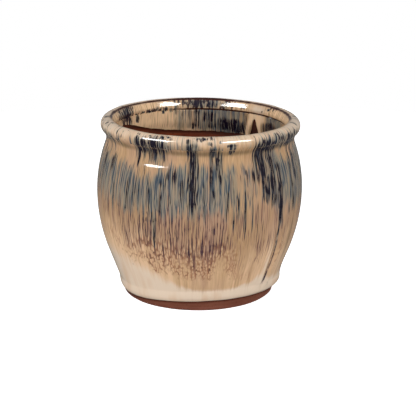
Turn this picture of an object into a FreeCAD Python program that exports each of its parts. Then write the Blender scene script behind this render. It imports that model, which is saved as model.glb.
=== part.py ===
import FreeCAD, Part
import os
import Sketcher
from math import sqrt
from types import SimpleNamespace

# Glazed earthenware planter, turned about +Z and standing on z = 0.
# Its outside is a chain of tangent stretches: a cone above the foot, a lower arc, a shoulder arc,
# a hollow neck arc and a round bead for a rim. Every other face of the wall and its glaze is this chain
# set inwards. Lengths are in millimetres and angles in degrees.
SIZES = {
    "cone_height": 55.5,            # floor to the top of the straight cone
    "cone_angle": 21.0,             # lean of the cone from upright
    "lower_arc_radius": 196.0,      # cone to belly
    "belly_radius": 125.0,          # widest, over the glaze
    "shoulder_arc_radius": 173.0,   # belly to neck
    "shoulder_angle": 20.2,         # turn of the shoulder arc above the belly
    "neck_arc_radius": 14.0,        # hollow under the rim
    "neck_angle": 45.0,             # where the neck hands over to the bead, from level
    "bead_radius": 8.8,             # rolled rim, over the glaze
    "wall_thickness": 8.0,          # clay alone
    "glaze_thickness": 1.2,
    "slab_height": 14.0,            # floor to the top of the slab, inside the pot
    "foot_recess": 4.0,             # hollow under the slab, inside the foot ring
    "foot_ring_width": 14.0,
    "foot_chamfer": 0.8,
    "drain_radius": 11.0,
    "glaze_line": 10.0,             # floor to the lower edge of the outer glaze
    "roll_height": 24.0,            # floor to the top of the thick rolled edge
    "roll_arc_radius": 16.0,
    "inner_glaze_tail": 10.0,       # reach of the inner band below the neck arc
    "run_foot": 30.0,               # floor to the lower end of the run
    "run_thickness": 1.3,
    "run_angle": 5.0,               # width of the run round the pot
    "run_climb_angle": 6.0,         # upper end of the run, below the belly on the lower arc
    "run_azimuth": -41.0,           # from +X, where the front of the pot is at -90
}
LEFT, RIGHT = 1, -1

doc = FreeCAD.newDocument("glazed_pot")
sheet = doc.addObject("Spreadsheet::Sheet", "Sizes")
for row, (name, value) in enumerate(SIZES.items(), start=1):
    sheet.set(f"A{row}", name)
    sheet.set(f"B{row}", str(value))
    sheet.setAlias(f"B{row}", name)
doc.recompute()
S = SimpleNamespace(**{name: f"Sizes.{name}" for name in SIZES})


# Places on the turned section, each a pair of expressions: radius and height
def polar(centre, reach, angle):
    return f"({centre[0]} + ({reach}) * cos({angle}))", f"({centre[1]} + ({reach}) * sin({angle}))"


BELLY_HEIGHT = f"({S.cone_height} + {S.lower_arc_radius} * sin({S.cone_angle}))"
LOWER_CENTRE = (f"({S.belly_radius} - {S.lower_arc_radius})", BELLY_HEIGHT)
SHOULDER_CENTRE = (f"({S.belly_radius} - {S.shoulder_arc_radius})", BELLY_HEIGHT)
NECK_CENTRE = polar(SHOULDER_CENTRE, f"{S.shoulder_arc_radius} + {S.neck_arc_radius}", S.shoulder_angle)
BEAD_CENTRE = polar(NECK_CENTRE, f"{S.neck_arc_radius} + {S.bead_radius}", f"180 - {S.neck_angle}")
GLAZE_FACE = "0"
CLAY_FACE = S.glaze_thickness
INSIDE_FACE = f"({S.glaze_thickness} + {S.wall_thickness})"
INSIDE_GLAZE_FACE = f"({INSIDE_FACE} + {S.glaze_thickness})"
RUN_FACE = f"(-{S.run_thickness})"
SEAM_HEIGHT = f"({BEAD_CENTRE[1]} - ({S.bead_radius} - {CLAY_FACE}) * sin({S.neck_angle}))"


def cone_place(height, inset):
    slant = f"({S.lower_arc_radius} - {inset}) / cos({S.cone_angle})"
    return f"({LOWER_CENTRE[0]} + {slant} - ({BELLY_HEIGHT} - {height}) * tan({S.cone_angle}))", height


def lower_arc_place(inset, angle):
    return polar(LOWER_CENTRE, f"{S.lower_arc_radius} - {inset}", f"-{angle}")


def neck_start(inset):
    return polar(SHOULDER_CENTRE, f"{S.shoulder_arc_radius} - {inset}", S.shoulder_angle)


def neck_end(inset):
    return polar(BEAD_CENTRE, f"{S.bead_radius} - {inset}", f"-{S.neck_angle}")


def neck_at_seam(inset):
    rise = f"({SEAM_HEIGHT} - {NECK_CENTRE[1]})"
    return f"({NECK_CENTRE[0]} - sqrt(({S.neck_arc_radius} + {inset})^2 - {rise}^2))", SEAM_HEIGHT


def shoulder_place(height, inset):
    reach = f"sqrt(({S.shoulder_arc_radius} - {inset})^2 - ({height} - {BELLY_HEIGHT})^2)"
    return f"({SHOULDER_CENTRE[0]} + {reach})", height


def bead_place(height, inset):
    return f"({BEAD_CENTRE[0]} - sqrt(({S.bead_radius} - {inset})^2 - ({BEAD_CENTRE[1]} - {height})^2))", height


# Paths: places in order, and the bend of the edge after each place but the last.
# A bend is None for a straight edge, or the arc's radius and the side it turns to.
def wall_path(inset, foot_height, top):
    places = [
        cone_place(foot_height, inset),
        lower_arc_place(inset, S.cone_angle),
        (f"({S.belly_radius} - {inset})", BELLY_HEIGHT),
        neck_start(inset),
        top,
    ]
    bends = [
        None,
        (f"{S.lower_arc_radius} - {inset}", LEFT),
        (f"{S.shoulder_arc_radius} - {inset}", LEFT),
        (f"{S.neck_arc_radius} + {inset}", RIGHT),
    ]
    return places, bends


def band_path(inset):
    lower_edge = f"({neck_start(INSIDE_FACE)[1]} - {S.inner_glaze_tail})"
    places = [shoulder_place(lower_edge, inset), neck_start(inset), neck_at_seam(inset)]
    bends = [(f"{S.shoulder_arc_radius} - {inset}", LEFT), (f"{S.neck_arc_radius} + {inset}", RIGHT)]
    return places, bends


def bead_path(inset):
    crest = (BEAD_CENTRE[0], f"({BEAD_CENTRE[1]} + {S.bead_radius} - {inset})")
    places = [neck_end(inset), crest, bead_place(SEAM_HEIGHT, inset)]
    bends = [(f"{S.bead_radius} - {inset}", LEFT)] * 2
    return places, bends


def run_path(inset):
    places = [
        cone_place(S.run_foot, inset),
        lower_arc_place(inset, S.cone_angle),
        lower_arc_place(inset, S.run_climb_angle),
    ]
    bends = [None, (f"{S.lower_arc_radius} - {inset}", LEFT)]
    return places, bends


def backwards(path):
    places, bends = path
    turned = [bend and (bend[0], -bend[1]) for bend in reversed(bends)]
    return places[::-1], turned


def between(outer, inner, last_bend=None):
    back = backwards(inner)
    return outer[0] + back[0], outer[1] + [None] + back[1] + [last_bend]


# Sketches and revolved bodies
def worth(expression):
    return float(sheet.evalExpression(expression))


def vector(place):
    return FreeCAD.Vector(worth(place[0]), worth(place[1]), 0)


def arc_edge(start, end, radius, side):
    chord = end - start
    sideways = FreeCAD.Vector(-chord.y, chord.x, 0).normalize() * side
    depth = sqrt(radius**2 - (chord.Length / 2)**2)
    centre = (start + end) / 2 + sideways * depth
    return Part.Arc(start, centre - sideways * radius, end)


def bind(sketch, kind, items, expression):
    index = sketch.addConstraint(Sketcher.Constraint(kind, *items, worth(expression)))
    constraint_name = f"{kind}_{index}"
    sketch.renameConstraint(index, constraint_name)
    sketch.setExpression(f"Constraints.{constraint_name}", expression)


def draw_outline(sketch, places, bends):
    origin, x_axis = (-1, 1), -1
    points = [vector(place) for place in places]
    count = len(places)
    for index, bend in enumerate(bends):
        start, end = points[index], points[(index + 1) % count]
        if bend:
            sketch.addGeometry(arc_edge(start, end, worth(bend[0]), bend[1]))
        else:
            sketch.addGeometry(Part.LineSegment(start, end))
    ends = [(2, 1) if bend and bend[1] == RIGHT else (1, 2) for bend in bends]
    for index, (place, bend) in enumerate(zip(places, bends)):
        corner = (index, ends[index][0])
        before = (index - 1) % count
        sketch.addConstraint(Sketcher.Constraint("Coincident", before, ends[before][1], *corner))
        bind(sketch, "DistanceX", origin + corner, place[0])
        if place[1] == "0":
            sketch.addConstraint(Sketcher.Constraint("PointOnObject", *corner, x_axis))
        else:
            bind(sketch, "DistanceY", origin + corner, place[1])
        if bend:
            bind(sketch, "Radius", (index,), bend[0])


def revolved(node, outline, angle=None):
    body = doc.addObject("PartDesign::Body", node)
    sketch = body.newObject("Sketcher::SketchObject", f"{node}_outline")
    section_plane = next(item for item in body.Origin.OriginFeatures if item.Role == "XZ_Plane")
    sketch.AttachmentSupport = [(section_plane, "")]
    sketch.MapMode = "FlatFace"
    draw_outline(sketch, *outline)
    doc.recompute()
    turned = body.newObject("PartDesign::Revolution", f"{node}_turned")
    turned.Profile = sketch
    turned.ReferenceAxis = (sketch, ["V_Axis"])
    if angle:
        turned.Midplane = True
        turned.setExpression("Angle", angle)
    body.Label = node
    return body


def base_slab():
    ring_inside = f"({cone_place('0', CLAY_FACE)[0]} - {S.foot_ring_width})"
    places = [
        (S.drain_radius, S.foot_recess),
        (ring_inside, S.foot_recess),
        (ring_inside, "0"),
        (f"({cone_place('0', CLAY_FACE)[0]} - {S.foot_chamfer})", "0"),
        cone_place(S.foot_chamfer, CLAY_FACE),
        cone_place(S.slab_height, CLAY_FACE),
        (S.drain_radius, S.slab_height),
    ]
    return revolved("base_slab", (places, [None] * len(places)))


def clay_wall():
    outside = wall_path(CLAY_FACE, S.slab_height, neck_end(CLAY_FACE))
    inside = wall_path(INSIDE_FACE, S.slab_height, neck_at_seam(INSIDE_FACE))
    return revolved("clay_wall", between(outside, inside))


def rim_coil():
    places, bends = bead_path(CLAY_FACE)
    return revolved("rim_coil", (places, bends + [None]))


def outer_glaze():
    outside = wall_path(GLAZE_FACE, S.roll_height, neck_end(GLAZE_FACE))
    inside = wall_path(CLAY_FACE, S.glaze_line, neck_end(CLAY_FACE))
    return revolved("outer_glaze", between(outside, inside, last_bend=(S.roll_arc_radius, LEFT)))


def rim_glaze():
    return revolved("rim_glaze", between(bead_path(GLAZE_FACE), bead_path(CLAY_FACE)))


def inner_glaze():
    return revolved("inner_glaze", between(band_path(INSIDE_FACE), band_path(INSIDE_GLAZE_FACE)))


def glaze_run():
    body = revolved("glaze_run", between(run_path(RUN_FACE), run_path(GLAZE_FACE)), angle=S.run_angle)
    body.Placement.Rotation = FreeCAD.Rotation(FreeCAD.Vector(0, 0, 1), worth(S.run_azimuth))
    body.setExpression("Placement.Rotation.Angle", S.run_azimuth)
    return body


bodies = [base_slab(), clay_wall(), rim_coil(), outer_glaze(), rim_glaze(), inner_glaze(), glaze_run()]
doc.recompute()

for item in doc.Objects:
    if {"Invalid", "Error"} & set(item.State):
        raise RuntimeError(f"{item.Label} did not build: {item.State}")
for body in bodies:
    if body.Shape.isNull() or not body.Shape.isValid():
        raise RuntimeError(f"{body.Label} has no valid shape")

os.makedirs("parts", exist_ok=True)
for body in bodies:
    body.Shape.exportStep(f"parts/{body.Label}.step")
    box = body.Shape.BoundBox
    print(body.Label, len(body.Shape.Solids), round(body.Shape.Volume), round(box.ZMin, 2), round(box.ZMax, 2))
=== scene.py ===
import random
from math import asin, cos, pi, radians, sin, sqrt, tan

import bmesh
import bpy
import numpy as np
from mathutils import Matrix, Vector, noise


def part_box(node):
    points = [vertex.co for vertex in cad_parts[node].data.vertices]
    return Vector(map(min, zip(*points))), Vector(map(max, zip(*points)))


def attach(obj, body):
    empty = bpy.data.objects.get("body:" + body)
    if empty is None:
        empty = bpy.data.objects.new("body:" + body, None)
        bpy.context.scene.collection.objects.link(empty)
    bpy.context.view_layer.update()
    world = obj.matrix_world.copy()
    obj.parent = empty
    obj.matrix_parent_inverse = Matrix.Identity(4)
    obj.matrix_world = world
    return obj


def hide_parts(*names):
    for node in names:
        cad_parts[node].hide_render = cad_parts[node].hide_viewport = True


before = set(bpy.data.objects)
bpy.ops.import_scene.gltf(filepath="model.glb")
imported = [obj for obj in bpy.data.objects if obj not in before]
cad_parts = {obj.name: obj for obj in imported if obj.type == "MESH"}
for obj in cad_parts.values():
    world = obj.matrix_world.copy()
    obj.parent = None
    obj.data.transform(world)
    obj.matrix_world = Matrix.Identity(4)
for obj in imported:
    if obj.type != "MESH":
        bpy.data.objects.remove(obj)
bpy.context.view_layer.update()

MM = 0.001

# The pot's curves, in metres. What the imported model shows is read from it, and the arcs repeat its own.
BELLY_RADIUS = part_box("outer_glaze")[1].x
GLAZE_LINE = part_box("outer_glaze")[0].z
GLAZE = BELLY_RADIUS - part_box("clay_wall")[1].x
SLAB_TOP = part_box("base_slab")[1].z
SEAM_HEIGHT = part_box("rim_coil")[0].z
BAND_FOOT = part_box("inner_glaze")[0].z
WALL = 8.0 * MM
CONE_HEIGHT = 55.5 * MM
CONE_ANGLE = radians(21.0)
LOWER_ARC = 196.0 * MM
SHOULDER_ARC = 173.0 * MM
SHOULDER_ANGLE = radians(20.2)
NECK_ARC = 14.0 * MM
NECK_ANGLE = radians(45.0)
BEAD = 8.8 * MM
ROLL_HEIGHT = 24.0 * MM
ROLL_ARC = 16.0 * MM
FOOT_RECESS = 4.0 * MM
FOOT_RING = 14.0 * MM
DRAIN_RADIUS = 11.0 * MM

# The fired pot slumped a little: it leans to the viewer's right, and its rim dips to that side
LEAN = 0.0147
RIM_DIP = 0.0129

# Lower edge of the outer glaze: azimuth (degrees) and height where it hangs highest, how far it would sink a
# quarter round from there, the height at which it levels out and over what height, and its lip
EDGE_AZIMUTH = 16.0
EDGE_HIGH = 13.5 * MM
EDGE_SINKS = 12.0 * MM
EDGE_LOW = 4.6 * MM
EDGE_BLEND = 1.2 * MM
EDGE_LIP = 0.8 * MM

# Streaks begin to turn to bubbles at the upper of these heights, and have done so at the lower
STREAKS_ABOVE = 108.0 * MM
BUBBLES_BELOW = 58.0 * MM

# The crease under the rim, dark with pooled glaze and painted shade under the rim's bead, and how far above
# and below its middle the neck's arc is followed inside
CREASE_HEIGHT = 196.0 * MM
CREASE_HALF = 4.0 * MM
NECK_RISE = 20.0 * MM

# How far the foot splays at the floor, how far it draws in above that, and up to what height
FOOT_SPLAY = 2.0 * MM
FOOT_TUCK = 2.2 * MM
FOOT_TUCKED = 12.0 * MM

# The rim's inner face is a little flat: the angle from the crest to its middle, and half its own angle
FACE_ANGLE = radians(64.0)
FACE_HALF = radians(26.0)

# Throwing rings inside, from one to the next
RING_PITCH = 9.0 * MM


def place(radius, height):
    """A point of a section."""
    return Vector((radius, 0.0, height))


def polar(centre, reach, angle):
    """A point of a section round a centre, by the angle up from outwards."""
    return centre + reach * Vector((cos(angle), 0.0, sin(angle)))


BELLY_HEIGHT = CONE_HEIGHT + LOWER_ARC * sin(CONE_ANGLE)
LOWER_CENTRE = place(BELLY_RADIUS - LOWER_ARC, BELLY_HEIGHT)
SHOULDER_CENTRE = place(BELLY_RADIUS - SHOULDER_ARC, BELLY_HEIGHT)
NECK_CENTRE = polar(SHOULDER_CENTRE, SHOULDER_ARC + NECK_ARC, SHOULDER_ANGLE)
BEAD_CENTRE = polar(NECK_CENTRE, NECK_ARC + BEAD, pi - NECK_ANGLE)
RIM_TOP = BEAD_CENTRE.z + BEAD
SEAM_RISE = SEAM_HEIGHT - NECK_CENTRE.z
INSIDE = GLAZE + WALL
INNER_EDGE_ANGLE = asin((BEAD_CENTRE.z - SEAM_HEIGHT) / BEAD)
CREST_TO_NECK = BEAD * (pi / 2.0 + NECK_ANGLE)
CREST_TO_INNER_EDGE = BEAD * (pi / 2.0 + INNER_EDGE_ANGLE)

# Steps round the pot in glaze and in clay, distance below which two points are one, and fold that is an edge
AROUND = 480
CLAY_AROUND = 240
SAME_POINT = 0.01 * MM
EDGE_FOLD = radians(40.0)


def cone(height, inset):
    """A point of the cone above the foot, or of one set in from it."""
    slant = (LOWER_ARC - inset) / cos(CONE_ANGLE)
    return place(LOWER_CENTRE.x + slant - (BELLY_HEIGHT - height) * tan(CONE_ANGLE), height)


def seam(inset):
    """The point of the seam between wall and rim, on the neck's inner side."""
    return place(NECK_CENTRE.x - sqrt((NECK_ARC + inset) ** 2 - SEAM_RISE**2), SEAM_HEIGHT)


def neck_turn(inset):
    """The neck's angle from that seam down to the shoulder."""
    return SHOULDER_ANGLE + asin(SEAM_RISE / (NECK_ARC + inset))


# Sections are drawn as one line of points in the XZ plane, then turned about Z like a pot on a wheel
class Section:
    def __init__(self, start):
        self.bm = bmesh.new()
        self.bm.verts.layers.float.new("drop")
        self.bm.verts.layers.float.new("shown")
        self.line = [self.bm.verts.new(start)]

    def to(self, target, rows=1):
        start = self.line[-1].co.copy()
        for row in range(1, rows + 1):
            vert = bmesh.ops.extrude_vert_indiv(self.bm, verts=[self.line[-1]])["verts"][0]
            vert.co = start.lerp(target, row / rows)
            self.line.append(vert)

    def arc(self, centre, angle, rows):
        known = len(self.bm.verts)
        bmesh.ops.spin(self.bm, geom=[self.line[-1]], cent=centre, axis=(0, -1, 0), angle=angle, steps=rows)
        self.bm.verts.ensure_lookup_table()
        self.line.extend(self.bm.verts[known:])

    def close(self, rows=1):
        self.to(self.line[0].co.copy(), rows)

    def length(self):
        return sum((after.co - before.co).length for before, after in zip(self.line, self.line[1:]))

    def mark(self, first_shown, last_shown, start_drop):
        """Store the way along the surface from the rim's crest, outwards positive, and which points show."""
        layers = self.bm.verts.layers.float
        drop = start_drop
        for index, vert in enumerate(self.line):
            if index:
                drop -= (vert.co - self.line[index - 1].co).length
            vert[layers["drop"]] = drop
            vert[layers["shown"]] = float(first_shown <= index <= last_shown)


def turned(name, section, steps):
    """Turn a section into a mesh: one eighth is spun, then doubled up to the whole round."""
    bm = section.bm
    eighth = pi / 4.0
    line = bm.verts[:] + bm.edges[:]
    bmesh.ops.spin(bm, geom=line, cent=(0, 0, 0), axis=(0, 0, 1), angle=eighth, steps=steps // 8)
    for angle in (eighth, 2.0 * eighth, 4.0 * eighth):
        copied = bmesh.ops.duplicate(bm, geom=bm.verts[:] + bm.edges[:] + bm.faces[:])["geom"]
        verts = [item for item in copied if isinstance(item, bmesh.types.BMVert)]
        turn = Matrix.Rotation(angle, 3, "Z")
        bmesh.ops.rotate(bm, verts=verts, cent=(0, 0, 0), matrix=turn)
    bmesh.ops.remove_doubles(bm, verts=bm.verts, dist=SAME_POINT)
    bmesh.ops.recalc_face_normals(bm, faces=bm.faces)
    mesh = bpy.data.meshes.new(name)
    bm.to_mesh(mesh)
    bm.free()
    return mesh


def smooth(start, end, values):
    """A smooth step from 0 at the start to 1 at the end."""
    share = np.clip((values - start) / (end - start), 0.0, 1.0)
    return share * share * (3.0 - 2.0 * share)


def within(values, rise, fall):
    """1 between a rise and a fall, each given by its start and end, and 0 beyond them."""
    return smooth(*rise, values) * (1.0 - smooth(*fall, values))


def bump(distance, width):
    """1 at no distance, fading away over a width to each side."""
    return np.exp(-((distance / width) ** 2))


class Points:
    """The points of a turned mesh as arrays, so that relief and glaze marks are worked out all at once."""

    def __init__(self, mesh):
        self.mesh = mesh
        self.place = self.read(mesh.vertices, "co", 3)
        self.normal = self.read(mesh.vertex_normals, "vector", 3)
        self.drop = self.read(mesh.attributes["drop"].data, "value", 1)[:, 0]
        self.shown = self.read(mesh.attributes["shown"].data, "value", 1)[:, 0]
        self.azimuth = np.arctan2(self.place[:, 0], -self.place[:, 1])
        self.reach = np.hypot(self.place[:, 0], self.place[:, 1])
        self.height = self.place[:, 2].copy()
        self.outwards = np.stack([np.sin(self.azimuth), -np.cos(self.azimuth), 0.0 * self.height], axis=1)

    def read(self, items, name, width):
        values = np.empty(len(items) * width, dtype=np.float32)
        items.foreach_get(name, values)
        return values.reshape(-1, width).astype(np.float64)

    def raise_by(self, relief):
        self.place += self.normal * (relief * self.shown)[:, None]

    def wobble(self, grain, seed=0.0, squash=1.0):
        """Smooth unevenness between -1 and 1 whose lumps are about one grain across."""
        around = BELLY_RADIUS / grain
        across = zip(
            around * np.sin(self.azimuth), around * np.cos(self.azimuth), squash * self.drop / grain + seed
        )
        return np.array([noise.noise(point) for point in across])

    def away(self, azimuth):
        """Angle from a meridian, in radians."""
        return (self.azimuth - radians(azimuth) + pi) % (2.0 * pi) - pi

    def near(self, azimuth, half_width):
        """1 on a meridian, fading away over a half width in degrees."""
        return bump(self.away(azimuth), radians(half_width))

    def store(self, marks):
        """Keep the marks, and the ways round and down the pot in millimetres, for the glaze to read."""
        ways = [np.cos(self.azimuth), np.sin(self.azimuth), self.drop / BELLY_RADIUS]
        along = BELLY_RADIUS * np.stack(ways, axis=1)
        unrolled = np.stack([BELLY_RADIUS * self.azimuth, bubble_way(self.height), 0.0 * self.height], axis=1)
        for name, way in (("flow", along), ("unrolled", unrolled)):
            layer = self.mesh.attributes.new(name, "FLOAT_VECTOR", "POINT")
            layer.data.foreach_set("vector", (way / MM).ravel())
        for name, values in marks.items():
            layer = self.mesh.attributes.new(name, "FLOAT", "POINT")
            layer.data.foreach_set("value", np.clip(values, 0.0, 2.0).astype(np.float32))


def bubble_way(height):
    """Way down the pot along which streaks are drawn out at the top and end in round bubbles."""
    levels = np.linspace(0.0, RIM_TOP, 300)
    share = 0.10 + 0.60 * (1.0 - smooth(BUBBLES_BELOW, STREAKS_ABOVE, levels))
    return -np.interp(height, levels, np.cumsum(share) * levels[1])


def finish_piece(points, material, nodes):
    """Slump the points with the rest of the pot, shade them and hand the piece to the frame."""
    x, z = points.place[:, 0].copy(), points.place[:, 2].copy()
    points.place[:, 0] += LEAN * (z - BELLY_HEIGHT)
    points.place[:, 2] -= RIM_DIP * x * np.clip(z / RIM_TOP, 0.0, 1.0)
    mesh = points.mesh
    mesh.vertices.foreach_set("co", points.place.ravel())
    mesh.attributes.remove(mesh.attributes["drop"])
    mesh.attributes.remove(mesh.attributes["shown"])
    mesh.shade_smooth()
    mesh.set_sharp_from_angle(angle=EDGE_FOLD)
    mesh.update()
    mesh.materials.append(material)
    piece = bpy.data.objects.new(mesh.name, mesh)
    bpy.context.scene.collection.objects.link(piece)
    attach(piece, "root")
    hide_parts(*nodes)


# Where the dark glaze ran. Azimuth 0 is the front, and the viewer's right is positive.
# Outside: azimuth, half width (degrees), top, foot (millimetres above the floor), strength
OUTSIDE_RUNS = [
    (-75, 1.2, 212, 172, 0.95),
    (-70, 4.0, 186, 150, 0.7),
    (-66, 1.0, 212, 182, 0.9),
    (-60.5, 1.2, 208, 186, 0.8),
    (-52, 1.0, 208, 190, 0.7),
    (-63, 1.5, 186, 176, 0.8),
    (-59, 2.6, 183, 162, 1.0),
    (-54.5, 1.6, 156, 122, 0.65),
    (-43, 1.8, 164, 122, 0.75),
    (-40.5, 0.7, 184, 150, 0.7),
    (-36.5, 0.8, 180, 146, 0.7),
    (-32.5, 0.6, 182, 150, 0.65),
    (-38, 2.0, 208, 182, 1.4),
    (-37, 3.5, 160, 126, 0.6),
    (-34, 1.8, 208, 186, 1.3),
    (-27, 9.0, 208, 184, 0.85),
    (-30.5, 1.8, 205, 190, 0.8),
    (-28.5, 2.0, 168, 120, 0.68),
    (-25, 1.3, 132, 92, 1.0),
    (-22, 3.2, 196, 182, 0.8),
    (-21.5, 1.3, 166, 126, 0.8),
    (-18.5, 2.0, 178, 156, 0.92),
    (-14, 2.4, 179, 150, 0.78),
    (-16, 3.0, 150, 125, 0.6),
    (-6.8, 1.2, 210, 188, 1.0),
    (-4.2, 3.4, 206, 130, 1.1),
    (-9.5, 2.2, 170, 140, 0.7),
    (2, 1.1, 164, 112, 0.8),
    (5.8, 1.2, 206, 156, 0.95),
    (10.5, 2.4, 199, 158, 1.05),
    (7.5, 3.0, 160, 134, 0.65),
    (14.5, 1.5, 152, 120, 0.9),
    (20.8, 1.0, 156, 118, 0.7),
    (18, 0.7, 174, 104, 0.75),
    (22.5, 0.9, 176, 168, 0.9),
    (24.5, 0.7, 170, 96, 0.8),
    (29, 0.7, 158, 98, 0.75),
    (32.5, 0.6, 142, 94, 0.65),
    (36, 0.7, 132, 96, 0.6),
    (26.2, 0.8, 180, 170, 1.0),
    (30.3, 1.2, 176, 158, 0.9),
    (33.5, 2.6, 206, 158, 1.2),
    (38, 2.8, 206, 136, 1.25),
    (43.5, 2.6, 206, 128, 1.25),
    (49, 2.2, 178, 100, 1.2),
    (49.0, 0.9, 112, 62, 0.8),
    (54, 2.2, 206, 186, 0.8),
    (57.5, 1.5, 146, 116, 0.7),
    (61.5, 1.8, 204, 112, 0.85),
    (67, 3.0, 204, 150, 0.75),
    (73, 3.0, 200, 140, 0.7),
]
# The grey-blue belt round the shoulder: azimuth (degrees), top, foot (millimetres above the floor), strength
BELT = [
    (-150, 178, 136, 0.85),
    (-75, 186, 138, 0.6),
    (-60, 182, 138, 0.7),
    (-50, 176, 136, 0.75),
    (-35, 172, 134, 0.85),
    (-28, 174, 134, 0.9),
    (-23, 182, 136, 0.88),
    (-10, 184, 138, 0.9),
    (-3, 181, 140, 0.92),
    (8, 183, 136, 0.9),
    (13, 181, 132, 0.82),
    (17, 186, 132, 0.52),
    (25, 190, 138, 0.42),
    (31, 190, 142, 0.46),
    (40, 196, 142, 0.62),
    (48, 190, 126, 0.85),
    (55, 184, 136, 0.7),
    (64, 190, 132, 0.8),
    (80, 192, 128, 0.85),
    (150, 180, 135, 0.85),
]
# The dark streaks below the belt, which end in bubbles: the same
STREAKS = [
    (-150, 134, 66, 0.85),
    (-105, 134, 74, 0.8),
    (-75, 138, 90, 0.72),
    (-55, 138, 76, 0.76),
    (-42, 136, 60, 0.74),
    (-30, 138, 55, 0.95),
    (-20, 136, 50, 0.86),
    (-10, 136, 44, 0.8),
    (4, 136, 40, 0.84),
    (12, 134, 50, 0.8),
    (20, 132, 40, 0.58),
    (35, 130, 28, 0.54),
    (45, 126, 42, 0.52),
    (60, 126, 62, 0.5),
    (85, 130, 70, 0.75),
    (150, 132, 60, 0.9),
]
# The cream above the foot: azimuth (degrees), top (millimetres above the floor), way over which it fades, and
# how strongly the glaze above it turns to peach, partly painted bounce light on the pot's lower part
CREAM = [
    (-150, 46, 30, 0.6),
    (-90, 48, 40, 1.0),
    (-60, 46, 38, 1.0),
    (-42, 42, 36, 1.0),
    (-30, 36, 30, 0.9),
    (-18, 30, 19, 0.7),
    (-4, 22, 10, 0.45),
    (20, 21, 9, 0.56),
    (36, 26, 12, 0.66),
    (43, 33, 22, 0.9),
    (49, 28, 14, 0.5),
    (54, 27, 14, 0.65),
    (66, 21, 12, 0.75),
    (120, 42, 26, 0.6),
]
# Rim and inside: azimuth, half width (degrees), way along the glaze from the crest (millimetres, outwards
# positive) from, to, strength
RIM_RUNS = [
    (-68, 14.0, 12.0, 27.0, 0.6),
    (-27, 10.0, 10.0, 27.0, 1.25),
    (-5, 4.0, 11.0, 30.0, 0.8),
    (7, 4.0, 17.0, 30.0, 0.75),
    (17.5, 2.5, 13.0, 26.0, 0.7),
    (40, 9.0, 12.0, 29.0, 1.25),
    (60, 16.0, 10.0, 29.0, 1.05),
    (-86, 3.5, -2.0, 5.0, 0.75),
    (-67, 2.0, -2.0, 3.0, 0.75),
    (-57.5, 1.6, -2.0, 1.5, 0.8),
    (-54, 0.9, 7.0, 12.0, 0.75),
    (-55, 1.5, 16.0, 25.0, 0.6),
    (-37.2, 1.9, 9.0, 30.0, 1.5),
    (-33.4, 1.6, 10.0, 30.0, 1.4),
    (-29.6, 0.7, 3.6, 6.2, 0.9),
    (-29, 1.6, 14.0, 24.0, 0.6),
    (-21.8, 1.3, 4.0, 8.5, 0.95),
    (-22.2, 1.8, 12.5, 18.0, 0.8),
    (-18.5, 1.4, 3.5, 6.5, 0.75),
    (-17.9, 1.3, 13.0, 24.0, 0.8),
    (-7, 1.3, 5.5, 12.0, 1.0),
    (-1, 1.1, 3.0, 6.0, 0.9),
    (1.7, 1.3, 3.6, 7.0, 0.95),
    (4.7, 1.5, 9.0, 13.0, 1.0),
    (10.7, 0.9, 8.0, 11.5, 1.0),
    (17, 2.9, 12.5, 16.0, 1.0),
    (17.3, 1.0, 22.0, 28.0, 0.9),
    (36.4, 0.8, 10.0, 14.0, 0.9),
    (46.5, 0.9, 5.0, 13.0, 0.85),
    (53, 2.2, 9.0, 20.0, 0.7),
    (74.5, 1.6, -2.5, 8.0, 0.9),
    (93, 2.0, -1.0, 6.0, 0.7),
    (-108, 2.5, -18.0, -10.0, 0.7),
    (-119, 3.2, -22.0, -4.0, 0.85),
    (-124, 2.0, -18.0, -11.0, 0.75),
    (-121, 4.0, -36.0, -19.0, 0.75),
    (-130, 2.5, -30.0, -19.0, 0.8),
    (-136, 1.8, -19.0, -16.0, 0.85),
    (-142, 2.2, -20.0, -17.0, 0.9),
    (-147.6, 1.5, -18.5, -12.5, 0.85),
    (-153, 1.3, -23.0, -18.5, 0.95),
    (-155, 1.2, -20.0, -14.0, 0.95),
    (-159, 1.5, -22.0, -16.0, 0.85),
    (-162.5, 1.4, -28.0, -9.0, 0.65),
    (-167, 0.9, -35.0, -20.0, 0.75),
    (-172.7, 1.3, -34.0, -16.0, 0.75),
    (-176, 3.0, -14.0, -6.0, 1.0),
    (-177, 3.5, -44.0, -18.0, 0.9),
    (180, 2.5, -15.0, -5.0, 1.0),
    (-175, 1.0, -47.0, -36.0, 1.3),
    (177, 2.2, -36.0, -20.0, 1.0),
    (175, 2.5, -16.0, -9.0, 0.95),
    (170, 2.2, -15.5, -9.0, 0.9),
    (163, 1.2, -18.0, -9.0, 0.85),
    (172, 5.0, -46.0, -22.0, 0.8),
    (163, 5.5, -46.0, -28.0, 1.1),
    (155, 6.5, -49.0, -29.0, 1.3),
    (149, 3.0, -48.0, -31.0, 1.2),
    (148, 2.0, -13.5, -10.0, 0.95),
    (146, 2.5, -44.0, -18.0, 0.85),
    (125.4, 1.4, -11.0, -7.5, 0.85),
    (122, 10.0, -44.0, -26.0, 1.3),
    (60, 8.0, -40.0, -8.0, 0.6),
    (12, 7.0, -40.0, -6.0, 0.8),
    (-18, 3.0, -20.0, -4.0, 0.8),
    (-58, 7.0, -38.0, -10.0, 0.8),
]
# Blotches on the rim: azimuth, half width (degrees), way from the crest, half way (millimetres), strength
BLOTCHES = [
    (-178, 17.0, -9.0, 7.0, 0.75),
    (-116, 12.0, -14.0, 12.0, 1.1),
    (-144, 16.0, -18.0, 3.5, 0.75),
    (-78, 14.0, 6.0, 10.0, 0.35),
    (-30, 14.0, 5.0, 4.0, 0.6),
    (0, 9.0, 5.0, 4.0, 0.5),
    (148, 3.0, -12.0, 3.0, 0.8),
    (122, 4.0, -5.0, 5.0, 0.6),
    (45, 14.0, 12.0, 6.0, 0.3),
]
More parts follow.
